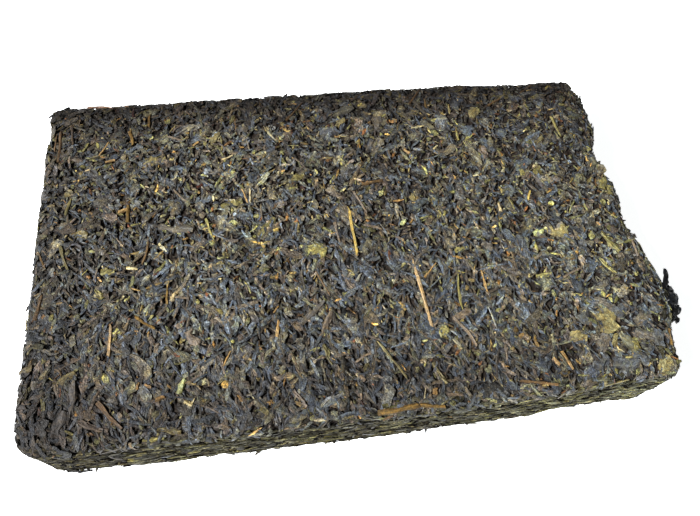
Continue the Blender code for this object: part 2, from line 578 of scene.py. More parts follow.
def drop_onto_top(plan):
    """Points on the top and its rim, straight below the given places."""
    starts = np.column_stack([plan, np.full(len(plan), cad_high.z + AWAY)])
    return shoot(starts, np.tile((0, 0, -1.0), (len(plan), 1)))


def top_places(count, draw):
    return drop_onto_top(spread(count, draw, cad_low[:2], cad_high[:2]))


def under_places(count, draw):
    plan = spread(count, draw, cad_low[:2], cad_high[:2])
    starts = np.column_stack([plan, np.full(len(plan), cad_low.z - AWAY)])
    return shoot(starts, np.tile((0, 0, 1.0), (len(plan), 1)))


def wall_places(count, draw):
    """Points round the four walls."""
    girth = 2 * (size.x + size.y)
    stretch = spread(count, draw, (0, 0), (girth, size.z))
    starts, ways = [], []
    for along, height in stretch:
        if along < size.x:
            place, way = (cad_low.x + along, cad_low.y - AWAY), (0, 1)
        elif along < size.x + size.y:
            place, way = (cad_high.x + AWAY, cad_low.y + along - size.x), (-1, 0)
        elif along < 2 * size.x + size.y:
            place, way = (cad_high.x - (along - size.x - size.y), cad_high.y + AWAY), (0, -1)
        else:
            place, way = (cad_low.x - AWAY, cad_high.y - (along - 2 * size.x - size.y)), (1, 0)
        starts.append((*place, height))
        ways.append((*way, 0))
    return shoot(starts, ways)


print("girth of the brick in mm:", round(2000 * (size.x + size.y)))

# %% [markdown]
# ## Copies of a form
# Each copy of a form is turned to its own axes, bent, and rippled a little, so that no two copies
# are alike. Arrays do this for thousands of copies at once.

# %% Axes and copies
def unit(vectors):
    return vectors / np.maximum(np.linalg.norm(vectors, axis=1, keepdims=True), 1e-12)


def axes_for(up, angles, pitch, roll):
    """Three axes for each copy: along it, across it and out of the surface."""
    guide = np.where(np.abs(up[:, 2:]) > 0.7, (0, 1.0, 0), (0, 0, 1.0))
    east = unit(np.cross(guide, up))
    north = np.cross(up, east)
    along = np.cos(angles)[:, None] * east + np.sin(angles)[:, None] * north
    across = np.cross(up, along)
    along, up = (
        np.cos(pitch)[:, None] * along + np.sin(pitch)[:, None] * up,
        np.cos(pitch)[:, None] * up - np.sin(pitch)[:, None] * along,
    )
    across, up = (
        np.cos(roll)[:, None] * across + np.sin(roll)[:, None] * up,
        np.cos(roll)[:, None] * up - np.sin(roll)[:, None] * across,
    )
    return along, across, up


# Taken off the square of a place along the leaf, this keeps a bent leaf on its own middle.
BEND_CENTRE = 0.08


def copy_points(form_points, sizes, bends, axes):
    """The points of many copies of one form, relative to each copy's place."""
    x = form_points[None, :, 0] * sizes[:, 0:1]
    y = form_points[None, :, 1] * sizes[:, 1:2]
    z = form_points[None, :, 2] * sizes[:, 2:3]
    share = form_points[None, :, 0]
    arc = share**2 - BEND_CENTRE
    y = y + sizes[:, 0:1] * (bends[:, 0:1] * arc + bends[:, 1:2] * share**3)
    z = z - sizes[:, 0:1] * bends[:, 2:3] * arc
    along, across, up = axes
    return (
        x[..., None] * along[:, None] + y[..., None] * across[:, None] + z[..., None] * up[:, None]
    )


RIPPLE_WAVES = np.random.default_rng(5).normal(0, 1, (9, 3))
RIPPLE_LENGTHS = np.linspace(0.9, 2.6, 9) * MM


def ripple(points, height):
    """Small unevenness in space, the same for all leaves, so that no two copies are alike."""
    ways = unit(RIPPLE_WAVES) * math.tau / RIPPLE_LENGTHS[:, None]
    phases = points @ ways.T
    moves = np.sin(phases) @ np.roll(unit(RIPPLE_WAVES), 3, axis=0)
    return points + height * moves / math.sqrt(len(ways) / 2)


print("ripples are", (RIPPLE_LENGTHS[[0, -1]] / MM).tolist(), "mm long")

# %% [markdown]
# ## Pressing
# The press plate flattens what stands too high, but leaf springs back a little. Past a rim there is
# no plate, and the leaf folds down onto the wall.

# %% Pressing and folding
PRESS_FIRMNESS = 0.85
RIM_REACH = 7 * MM
RIM_SPRING = 0.15


def press(heights, plate):
    """Heights above the plate are pressed down, and keep a little of their difference."""
    return heights - PRESS_FIRMNESS * np.maximum(heights - plate, 0)


def hug(points, plates):
    """Fold what passes a rim back onto the skin. Returns the points and their heights."""
    half = np.array(size) / 2
    inset = half - np.abs(points - middle)
    near = (inset[:, 0] < RIM_REACH) | (inset[:, 1] < RIM_REACH)
    heights = np.full(len(points), np.nan)
    for index in np.flatnonzero(near):
        point = Vector(points[index])
        spot, normal, _, distance = skin.find_nearest(point)
        if (point - spot).dot(normal) < 0:
            heights[index] = -distance
            continue
        plate = plates[index]
        heights[index] = distance
        if distance > plate:
            kept = plate + RIM_SPRING * (distance - plate)
            points[index] = spot + (point - spot) * (kept / distance)
            heights[index] = kept
    return points, heights


print("1 mm over the plate is pressed to", round(float(press(1.0, 0.0)), 2), "mm")

# %% [markdown]
# ## How light the leaf is painted
# Three kinds of painted light and shade set how dark a point of leaf is. Leaf that lies deep
# between the strands gets painted shade. The flanks of a strand get painted shade, darker than its
# crest, which keeps neighbours of one tone apart. And painted light and shade lie over the brick:
# it is darkest along its rims and in four furrows across the top, and lightest left of the middle
# and towards the right.

# %% Depth, flanks and painted light and shade
DARK_DEPTH = 1.0 * MM
DEEPEST_LIGHT = 0.02
DEPTH_POWER = 2.1
FLANK_START = 0.05 * MM
FLANK_DROP = 0.27 * MM


def shadow_of(heights):
    """Painted shade: how light a point's leaf is painted at its height above or below the skin."""
    share = np.clip(1 + (heights - 0.1 * MM) / DARK_DEPTH, 0, 1)
    return DEEPEST_LIGHT + (1 - DEEPEST_LIGHT) * share**DEPTH_POWER


def flanks(form, heights, darkest):
    """Painted shade: how light each point is for its drop below the crest of its own ring."""
    rings = range(form.rings.max() + 1)
    crests = [heights[:, form.rings == ring].max(axis=1) for ring in rings]
    drop = np.stack(crests, 1)[:, form.rings] - heights
    return np.clip(1 - (drop - FLANK_START) / FLANK_DROP, darkest, 1).ravel()


print("light at 0, 0.5 and 1 mm deep:", shadow_of(np.array((0, -0.5, -1)) * MM).round(2))

# %% [markdown]
# The painted light and shade is a product of soft steps. Each is measured in millimetres from a
# rim, a corner or the middle, and says what share of the light is painted away or painted on there.

# %% Painted light and shade over the brick
# Furrows across the top, which get painted shade: place from the middle, and how dark.
FURROWS = ((-33.0, 0.25), (-4.0, 0.55), (16.5, 0.55), (78.0, 0.22))
FURROW_WIDTH = 1.7

# Painted light at the back rim and far from it, how far the painted shade reaches in, and how
# many times sooner it ends down the wall.
BACK_LIGHT, OPEN_LIGHT, BACK_REACH, WALL_HASTE = 0.12, 1.16, 31, 1.4

# What the other places of painted shade take, and how wide they are.
LEFT_LOSS, LEFT_LOSS_IN_FRONT, LEFT_WIDTH, LEFT_FADE = 0.61, 0.14, 24, 70
CORNER_LOSS, CORNER_WIDTH = 0.45, 30
FRONT_LOSS, FRONT_PLACE, FRONT_WIDTH = 0.35, 10, 13

# What the places of painted light gain.
PATCH_GAIN, PATCH_PLACE, PATCH_WIDTHS = 0.34, (-55, 10), (45, 38)
RIGHT_GAIN, FRONT_WALL_GAIN = 0.42, 0.45


def bell(distances, width):
    return np.exp(-((distances / width) ** 2))


def painted_light_and_shade(points):
    """Painted light and shade: darker along the rims, lighter to the right."""
    x, y, down = ((points - middle) * (1, 1, -1)).T / MM
    half_x, half_y, half_z = np.array(size) / 2 / MM
    left, back, front, down = x + half_x, half_y - y, y + half_y, np.clip(down + half_z, 0, None)
    inwards = np.clip((back + WALL_HASTE * down) / BACK_REACH, 0, 1)
    kept = BACK_LIGHT + (OPEN_LIGHT - BACK_LIGHT) * inwards**2 * (3 - 2 * inwards)
    at_left = LEFT_LOSS + LEFT_LOSS_IN_FRONT * np.exp(-front / LEFT_FADE)
    at_left = at_left * np.exp(-(left + down) / LEFT_WIDTH)
    # How far a point is towards the right, in the right end, and on the right of the front wall.
    to_right = np.clip((x - 10) / 80, 0, 1)
    far_right = np.clip((x - 80) / 20, 0, 1)
    front_wall = np.clip(1 - front / 3, 0, 1) * to_right**2
    at_corner = CORNER_LOSS * bell(np.hypot(left, front), CORNER_WIDTH)
    at_front = FRONT_LOSS * bell(front - FRONT_PLACE, FRONT_WIDTH) * (1 - 0.75 * far_right)
    kept *= (1 - at_left) * (1 - at_corner) * (1 - at_front)
    aside = (x - PATCH_PLACE[0]) / PATCH_WIDTHS[0], (y - PATCH_PLACE[1]) / PATCH_WIDTHS[1]
    kept *= 1 + PATCH_GAIN * bell(np.hypot(*aside), 1)
    kept *= 1 + RIGHT_GAIN * to_right * (1 - 1.3 * np.clip((y - 10) / 30, 0, 1))
    for place, darkness in FURROWS:
        aside = x - place - 1.5 * np.sin(y / 9)
        kept *= 1 - darkness * (0.65 + 0.35 * np.sin(y / 6 + place)) * bell(aside, FURROW_WIDTH)
    return kept * (1 + FRONT_WALL_GAIN * front_wall)


top_spots = np.array([(x, 0, cad_high.z) for x in (cad_low.x, 0, 0.07)])
print("wear at the left rim, the middle and to the right:", painted_light_and_shade(top_spots).round(2))

# %% [markdown]
# ## Many copies in one mesh
# `lay` copies forms to their places with arrays, and joins them into one mesh. Each copy has a
# length, a width, a thickness, a direction, a tilt and a tone. The deeper a copy lies, the lower
# the plate has pressed it. Each copy gets its own cell of the UV map `OFBake`, so that a baked
# picture has room for every leaf.

# %% A mesh from arrays
def mesh_from_arrays(name, points, corners, counts, layers, tones, finish):
    mesh = bpy.data.meshes.new(name)
    mesh.vertices.add(len(points))
    mesh.vertices.foreach_set("co", points.astype(np.float32).ravel())
    mesh.loops.add(len(corners))
    mesh.loops.foreach_set("vertex_index", corners.astype(np.int32))
    mesh.polygons.add(len(counts))
    starts = np.concatenate([[0], np.cumsum(counts)[:-1]])
    mesh.polygons.foreach_set("loop_start", starts.astype(np.int32))
    mesh.polygons.foreach_set("use_smooth", np.ones(len(counts), bool))
    mesh.update(calc_edges=True)
    for layer_name, uv in layers.items():
        layer = mesh.uv_layers.new(name=layer_name)
        layer.uv.foreach_set("vector", uv.astype(np.float32).ravel())
    tone = mesh.attributes.new("tone", "FLOAT_COLOR", "POINT")
    tone.data.foreach_set("color", tones.astype(np.float32).ravel())
    mesh.materials.append(finish)
    return mesh


print("a mesh gets two UV maps, a tone for each point and one finish")

# %% [markdown]
# Depths and plates are given to `lay` in millimetres. `flank_light` is how light the darkest
# painted flank shade stays, and the last argument is how much of the painted light and shade over
# the brick a kind of leaf shows.

# %% Lay many copies as one mesh
CELL_MARGIN = 0.07
LEVEL_SHARE = 0.45
LOOSE_PLATE = 1.4
LOWEST = 0.1 * MM

# Warm light reaches deeper between dark leaves, so red falls off a little less in painted shade.
WARM_SHADE = (0.92, 1.0, 1.0)


def lay(name, forms, places, normals, sizes, angles, tones, finish, draw,
        pitch=0.12, roll=0.4, bend=0.16, arch=0.04, depth=(0.0, 1.0), plate=0.3, crumple=0.12,
        sharp=50, loose=0.08, body_up=None, bends=None, flank_light=0.06, painted_light=1.0):
    """One joined mesh of many leaves. Depths, the plate and the crumple are in millimetres."""
    count = len(places)
    which = draw.integers(0, len(forms), count)
    pitches, rolls = draw.normal(0, pitch, count), draw.normal(0, roll, count)
    if bends is None:
        bends = draw.normal(0, 1, (count, 3)) * (bend, 2 * bend, arch) + (0, 0, arch)
    depths = draw.uniform(depth[0], depth[1], count) * MM
    up = unit(normals if body_up is None else body_up)
    across_grid = math.ceil(math.sqrt(count))
    cells = np.stack([np.arange(count) % across_grid, np.arange(count) // across_grid], 1)
    parts = {"points": [], "corners": [], "counts": [], "bake": [], "grain": [], "tones": []}
    base = 0
    for number, form in enumerate(forms):
        mine = np.flatnonzero(which == number)
        if not len(mine):
            continue
        axes = axes_for(up[mine], angles[mine], pitches[mine], rolls[mine])
        offsets = copy_points(form.points, sizes[mine] * MM, bends[mine], axes)
        spots = ripple(places[mine][:, None] + offsets, crumple * MM) - places[mine][:, None]
        heights = np.einsum("nvk,nk->nv", spots, normals[mine])
        levels = plate * MM - LEVEL_SHARE * np.maximum(depths[mine], 0)
        lowered = press(heights - depths[mine][:, None], levels[:, None])
        spots += (lowered - heights)[..., None] * normals[mine][:, None]
        points = (places[mine][:, None] + spots).reshape(-1, 3)
        is_loose = draw.uniform(0, 1, len(mine)) < loose
        plates = np.where(is_loose, LOOSE_PLATE, max(plate, 0.25)) * MM
        points, rim_heights = hug(points, np.repeat(plates, len(form.points)))
        heights = np.where(np.isnan(rim_heights), lowered.ravel(), rim_heights)
        first = base + np.arange(len(mine))[:, None] * len(form.points)
        parts["points"].append(points)
        parts["corners"].append((form.corners[None] + first).ravel())
        parts["counts"].append(np.tile(form.counts, len(mine)))
        inside = CELL_MARGIN + (1 - 2 * CELL_MARGIN) * form.uv
        parts["bake"].append(((cells[mine][:, None] + inside[None]) / across_grid).reshape(-1, 2))
        parts["grain"].append((form.uv[None] + 3.0 * cells[mine][:, None]).reshape(-1, 2))
        shaded = np.repeat(tones[mine], len(form.points), axis=0)
        # Painted shade for depth and flank, times the painted light and shade over the brick.
        light = shadow_of(heights) * flanks(form, lowered, flank_light) * painted_light_and_shade(points) ** painted_light
        shaded[:, :3] *= light[:, None] ** WARM_SHADE
        shaded[:, 3] = light
        parts["tones"].append(shaded)
        base += len(points)
    joined = {key: np.concatenate(value) for key, value in parts.items()}
    joined["points"][:, 2] = np.maximum(joined["points"][:, 2], LOWEST)
    mesh = mesh_from_arrays(
        name, joined["points"], joined["corners"], joined["counts"],
        {"OFBake": joined["bake"], "grain": joined["grain"]}, joined["tones"], finish,
    )
    mesh.set_sharp_from_angle(angle=math.radians(sharp))
    piece = link(bpy.data.objects.new(name, mesh))
    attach(piece, "root")
    print(f"{name}: {count} copies, {int((joined['counts'] - 2).sum())} triangles")


print("each leaf has a cell of the baked picture, less a margin of", CELL_MARGIN)

# %% [markdown]
# ## The way the leaf lies
# The press is filled from one side, so on the top the shreds lean from front to back more than
# across, with swirls. Along a rim they turn to follow it.

# %% Direction of the leaf on the top
def swirls(points, width, seed):
    """Smooth noise between about -1 and 1 at each point."""
    shift = Vector((seed, 3.1 * seed, 0))
    return 1.6 * np.array([noise.noise(Vector((x, y, 0)) / width + shift) for x, y, _ in points])


def trend(y):
    """The main direction in radians from +X: front to back, fanned out over the depth."""
    return math.radians(88) - math.radians(14) * y / 0.065


STRAY_SHARE = 0.18
RIM_SHARE = 0.6
RIM_FADE = 4 * MM


def lean(points, draw, wander=0.45):
    """The angle of each leaf on the top, in radians from +X."""
    y = points[:, 1]
    swirl = 0.50 * swirls(points, 0.022, 1.0) + 0.75 * swirls(points, 0.008, 2.0)
    angle = trend(y) + swirl + draw.normal(0, wander, len(points))
    stray = draw.uniform(0, 1, len(points)) < STRAY_SHARE
    angle = np.where(stray, draw.uniform(0, math.pi, len(points)), angle)
    edge_x = size.x / 2 - np.abs(points[:, 0])
    edge_y = size.y / 2 - np.abs(y)
    near = np.minimum(edge_x, edge_y)
    follow = draw.uniform(0, 1, len(points)) < RIM_SHARE * np.exp(-near / RIM_FADE)
    along_rim = np.where(edge_x < edge_y, math.pi / 2, 0.0) + draw.normal(0, 0.3, len(points))
    return np.where(follow, along_rim, angle)


rims = [round(math.degrees(trend(y))) for y in (cad_low.y, cad_high.y)]
print("leaf lies at", rims, "degrees at the front and back rim")

# %% [markdown]
# The leaf isn't the same everywhere. Towards the front it is coarse and loose, with deep gaps. At
# the back and on the right it is pressed tight, and more of it is flat. Near the front right corner
# whole leaves lie open, with few crumbs between them.

# %% Looser and tighter leaf
def looseness(points):
    """From 0, where the leaf is pressed tight, to 1, where strands lie loose and coarse."""
    x, y = points[:, 0] / (size.x / 2), points[:, 1] / (size.y / 2)
    front = np.clip((0.35 - y) / 0.9, 0, 1)
    right = np.clip((x - 0.40) / 0.35, 0, 1)
    return np.clip(0.15 + front * (1 - right) + 0.3 * swirls(points, 0.016, 3.0), 0, 1)


# Where whole leaves lie open, in millimetres from the middle, and how far round that.
OPEN_PLACE = (98.0, -54.0)
OPEN_WIDTH = 26.0


def openness(points):
    """Near 1 in the front right corner, where whole leaves lie open and flat."""
    away = (points[:, :2] - middle[:2]) / MM - OPEN_PLACE
    return np.exp(-(away[:, 0] ** 2 + away[:, 1] ** 2) / OPEN_WIDTH**2)


def thin_out(points, normals, shares, draw):
    """Keeps only a share of the points, which may differ from point to point."""
    kept = draw.uniform(0, 1, len(points)) < shares
    return points[kept], normals[kept]


lines = np.array([(0, y, cad_high.z) for y in (cad_low.y, 0, cad_high.y)])
print("looseness at the front, middle and back:", looseness(lines).round(2))

# %% [markdown]
# ## The core
# Between the leaves one looks into the inside of the slab, whose near-black tone is painted shade
# for the deep gaps. The core is the solid drawn in by about a millimetre, cut finer and roughened,
# so that the gaps are deep but never see through.

# %% Core
CORE_IN = 0.0011
CORE_RELIEF = 0.0004
CORE_CLUMP, CORE_GRAIN = 0.0022, 0.0011
CORE_LOWEST = 0.0004
# Near-black tones: painted shade deep between the leaves.
CORE_TONES = [(0.3, (0.006, 0.004, 0.003)), (0.7, (0.024, 0.019, 0.015))]


def core_finish():
    core = Finish("dark_inside")
    place = core.node("ShaderNodeTexCoord", output=3)
    clumps = core.noise(place, 450.0, 5.0)
    shreds = core.node(
        "ShaderNodeTexVoronoi", {"feature": "F1"}, {"Vector": place, "Scale": 700.0}
    )
    core.set(Base_Color=core.node("ShaderNodeValToRGB", {"stops": CORE_TONES}, {"Fac": clumps}))
    core.set(Roughness=0.65 + 0.3 * clumps, Specular_IOR_Level=0.08)
    core.bumps(shreds + clumps, 0.9, 0.0005)
    return core.material


def make_core():
    shape = skin_mesh.copy()
    bmesh.ops.subdivide_edges(shape, edges=shape.edges, cuts=1, use_grid_fill=True)
    bmesh.ops.triangulate(shape, faces=shape.faces)
    shape.normal_update()
    moves = []
    for vert in shape.verts:
        rough = noise.noise(vert.co / CORE_CLUMP) + 0.5 * noise.noise(vert.co / CORE_GRAIN)
        moves.append(vert.normal * (CORE_RELIEF * rough - CORE_IN))
    for vert, move in zip(shape.verts, moves):
        vert.co += move
        vert.co.z = max(vert.co.z, CORE_LOWEST)
    mesh = bpy.data.meshes.new("dark_core")
    shape.to_mesh(mesh)
    shape.free()
    mesh.shade_smooth()
    mesh.materials.append(core_finish())
    core = link(bpy.data.objects.new("dark_core", mesh))
    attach(core, "root")
    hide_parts("tea_brick")
    print("dark_core:", len(mesh.polygons), "triangles")


make_core()

# %% [markdown]
# ## Colours of the leaf
# Tones are linear colours. Most of the leaf is nearly black, bluish or brown. The lighter leaf is
# what the sheen and the scattered olive, khaki and gold bits stand out against.

# %% Palettes
BLUE_BLACK = [
    (0.044, 0.050, 0.058), (0.051, 0.060, 0.067), (0.069, 0.078, 0.083), (0.052, 0.063, 0.073)
]
BROWN_BLACK = [(0.069, 0.056, 0.039), (0.091, 0.071, 0.051), (0.053, 0.046, 0.032)]
GREY_BROWN = [(0.112, 0.103, 0.065), (0.097, 0.099, 0.064), (0.122, 0.109, 0.077)]
OLIVE = [(0.118, 0.112, 0.043), (0.092, 0.090, 0.034), (0.175, 0.168, 0.066), (0.14, 0.10, 0.038)]
CRUMBS = [(0.12, 0.105, 0.050), (0.20, 0.17, 0.075), (0.070, 0.066, 0.050), (0.15, 0.115, 0.055)]
WARM = [(0.18, 0.10, 0.028), (0.12, 0.055, 0.020), (0.26, 0.175, 0.055), (0.065, 0.024, 0.012)]
WALL = [(0.050, 0.050, 0.033), (0.066, 0.066, 0.042), (0.036, 0.034, 0.024), (0.105, 0.100, 0.054)]

print("mean of the blue black leaf:", np.mean(BLUE_BLACK, axis=0).round(3))

# %% [markdown]
# Stalks, open leaves and chips are placed one by one further on, so each has a tone by name.

# %% Tones of single pieces
gold = (0.26, 0.185, 0.050)
tan = (0.22, 0.138, 0.050)
sand = (0.27, 0.185, 0.088)
light_tan = (0.26, 0.210, 0.115)
golden_brown = (0.100, 0.060, 0.014)
brown = (0.095, 0.058, 0.024)
red_brown = (0.040, 0.011, 0.005)
dull_brown = (0.100, 0.077, 0.052)
olive = (0.092, 0.080, 0.028)
yellow_olive = (0.150, 0.133, 0.045)
amber = (0.15, 0.090, 0.030)
khaki = (0.130, 0.110, 0.046)
pale_green = (0.27, 0.28, 0.115)
cream = (0.40, 0.34, 0.17)
grey_leaf = (0.072, 0.064, 0.050)
blue_leaf = (0.050, 0.052, 0.050)
rosy_brown = (0.190, 0.120, 0.080)
grey_olive = (0.078, 0.074, 0.046)
wet_black = (0.006, 0.0065, 0.007)

print("palest and darkest tone:", max(cream), min(wet_black))

# %% [markdown]
# No two leaves are alike, so a leaf's colour is mixed from two of its palette and made a little
# lighter or darker, and its size is drawn round a mean.

# %% Random tones and sizes
def tones_from(palette, count, draw, spread_of_tone=0.25):
    """A colour for each leaf: a mix of two from the palette, made lighter or darker."""
    palette = np.array(palette)
    first = draw.integers(0, len(palette), count)
    second = draw.integers(0, len(palette), count)
    share = draw.uniform(0, 0.5, (count, 1))
    colour = palette[first] * (1 - share) + palette[second] * share
    colour = colour * np.exp(draw.normal(0, spread_of_tone, (count, 1)))
    return np.column_stack([colour, np.ones(count)])


def sizes_of(count, draw, length, width, thickness):
    """Random sizes in millimetres, each given as a mean and a spread."""
    columns = [
        mean * np.exp(draw.normal(0, sigma, count)) for mean, sigma in (length, width, thickness)
    ]
    return np.stack(columns, 1)


samples = sizes_of(1000, np.random.default_rng(1), (4.7, 0.36), (1.15, 0.32), (1.05, 0.2))
print("dark shreds are on average", samples.mean(axis=0).round(2), "mm")

# %% [markdown]
# ## Top: rolled shreds
# The main leaf of the top, in three tones. Strands lie deeper and shallower, so that some cross
# over others.

# %% Dark, brown and grey shreds
def lay_top_shreds(name, count, seed, palette, length, width, spans=5):
    draw = np.random.default_rng(seed)
    forms = [rolled_shred(draw, spans=spans, flatness=draw.uniform(0.5, 0.95)) for _ in range(28)]
    places, normals = top_places(count, draw)
    places, normals = thin_out(places, normals, 0.48 + 0.52 * looseness(places), draw)
    sizes = sizes_of(len(places), draw, length, width, (1.05, 0.2))
    sizes[:, :2] *= 0.74 + 0.52 * looseness(places)[:, None]
    lay(
        name, forms, places, normals, sizes, lean(places, draw),
        tones_from(palette, len(places), draw, 0.42), shred_finish, draw,
        depth=(0.0, 0.75), plate=0.05, bend=0.28, crumple=0.14,
    )


lay_top_shreds("dark_shreds", 3600, 11, BLUE_BLACK, (4.7, 0.36), (1.15, 0.32))
lay_top_shreds("brown_shreds", 3100, 12, BROWN_BLACK, (4.3, 0.38), (1.08, 0.34))
lay_top_shreds(
    "grey_shreds", 2900, 21, BLUE_BLACK + GREY_BROWN, (3.6, 0.38), (1.25, 0.40), spans=4
)

# %% [markdown]
# ## Top: folded leaf
# Whole leaves that were folded lengthwise make thicker lumps with two or three ridges.

# %% Folded leaf
def lay_folded_leaf():
    draw = np.random.default_rng(22)
    forms = [blade(draw, columns=4, spans=6, crease=0.35, ragged=0.25) for _ in range(20)]
    places, normals = top_places(1100, draw)
    places, normals = thin_out(places, normals, 0.6 + 0.4 * looseness(places), draw)
    count = len(places)
    sizes = sizes_of(count, draw, (6.5, 0.3), (2.0, 0.3), (0.95, 0.2))
    lay(
        "folded_leaf", forms, places, normals, sizes, lean(places, draw),
        tones_from(BLUE_BLACK + BROWN_BLACK + GREY_BROWN, count, draw), flake_finish, draw,
        roll=0.3, bend=0.25, depth=(0.2, 0.8), plate=0.05, crumple=0.14,
    )


lay_folded_leaf()

# %% [markdown]
# ## Top: hooked shreds
# Some strands dried in a curl and were pressed like that. The strand is bent into an arc before it
# is copied, so that its thickness stays even.

# %% Hooked shreds
def hooked_forms(draw, count):
    forms = []
    for _ in range(count):
        form = rolled_shred(draw, sides=5, spans=7, twist=0.8, weave=0.0, crumple=0.10)
        hook = draw.uniform(1.4, 3.6) * draw.choice((-1, 1))
        form.points = curl(form.points, hook, slenderness=0.15)
        forms.append(form)
    return forms


def lay_hooked_shreds():
    draw = np.random.default_rng(13)
    places, normals = top_places(600, draw)
    count = len(places)
    sizes = sizes_of(count, draw, (7.0, 0.2), (1.0, 0.0), (1.1, 0.2))
    sizes[:, 1] = sizes[:, 0]
    lay(
        "hooked_shreds", hooked_forms(draw, 16), places, normals, sizes,
        draw.uniform(0, math.tau, count), tones_from(BLUE_BLACK + BROWN_BLACK, count, draw),
        shred_finish, draw, depth=(0.1, 0.8), bend=0.0, arch=0.0, roll=0.15, plate=0.05,
    )


lay_hooked_shreds()

# %% [markdown]
# ## Top: torn flakes
# Flat broken leaf fills the spaces. Most of it is dark; some bits are olive, khaki, amber or red
# brown and catch the eye. Broad leaves lie flattest and show their veins.

# %% Torn and olive flakes
def lay_flakes(name, count, seed, palette, length, width, spans=5, columns=4, depth=(0.0, 0.7),
               tone_spread=0.3, finish=flake_finish, loose_share=0.6, open_share=1.0,
               flank_light=0.06):
    draw = np.random.default_rng(seed)
    forms = [blade(draw, columns=columns, spans=spans, crease=0.7) for _ in range(20)]
    places, normals = top_places(count, draw)
    shares = 1 - (1 - loose_share) * looseness(places)
    shares *= 1 - (1 - open_share) * openness(places)
    places, normals = thin_out(places, normals, shares, draw)
    lay(
        name, forms, places, normals,
        sizes_of(len(places), draw, length, width, (0.32, 0.15)),
        lean(places, draw, wander=0.8), tones_from(palette, len(places), draw, tone_spread),
        finish, draw, pitch=0.08, roll=0.14, bend=0.05, depth=depth, sharp=40, plate=0.1,
        flank_light=flank_light,
    )


lay_flakes(
    "torn_flakes", 3900, 14, BLUE_BLACK + BROWN_BLACK + GREY_BROWN, (3.3, 0.40), (2.0, 0.35),
    spans=4, loose_share=0.45,
)
lay_flakes(
    "broad_leaves", 440, 19, BROWN_BLACK + BLUE_BLACK + GREY_BROWN, (7.0, 0.30), (4.4, 0.25),
    spans=6, columns=6, depth=(0.0, 0.4), finish=broad_finish, loose_share=0.3, flank_light=0.4,
)
lay_flakes(
    "olive_flakes", 1400, 15, OLIVE, (2.7, 0.40), (1.15, 0.40), spans=3, columns=3,
    depth=(-0.05, 0.35), tone_spread=0.32, loose_share=0.8, open_share=0.7, flank_light=0.3,
)
lay_flakes(
    "warm_flakes", 700, 25, WARM, (2.4, 0.45), (0.95, 0.40), spans=3, columns=3,
    depth=(-0.05, 0.4), tone_spread=0.5, loose_share=0.9, open_share=0.4, flank_light=0.3,
)

# %% [markdown]
# ## Top: crumbs
# Where the leaf is pressed tight, the gaps are filled with crumbs a millimetre across. Only the
# larger ones are laid; the finer dust is in the relief of the core.

# %% Crumbs
def lay_crumbs():
    draw = np.random.default_rng(26)
    forms = [rolled_shred(draw, sides=4, spans=2, weave=0.05, crumple=0.3) for _ in range(16)]
    places, normals = top_places(7000, draw)
    shares = (0.85 - 0.65 * looseness(places)) * (1 - 0.7 * openness(places))
    places, normals = thin_out(places, normals, shares, draw)
    count = len(places)
    sizes = sizes_of(count, draw, (1.5, 0.35), (0.75, 0.25), (0.65, 0.2))
    lay(
        "crumbs", forms, places, normals, sizes, draw.uniform(0, math.pi, count),
        tones_from(CRUMBS + BLUE_BLACK + BROWN_BLACK, count, draw, 0.45), flake_finish, draw,
        depth=(-0.05, 0.30), plate=0.15, crumple=0.05, bend=0.1, flank_light=0.2,
    )


lay_crumbs()

# %% [markdown]
# ## Top: stalks, large leaves and chips
# Some pieces catch the eye, so they are placed one by one. Each row is a place on the top in
# millimetres from the middle, a turn in degrees from the long side, a length, a width, a tone and,
# for a few, how far the piece bends to one side. Stalks come first.

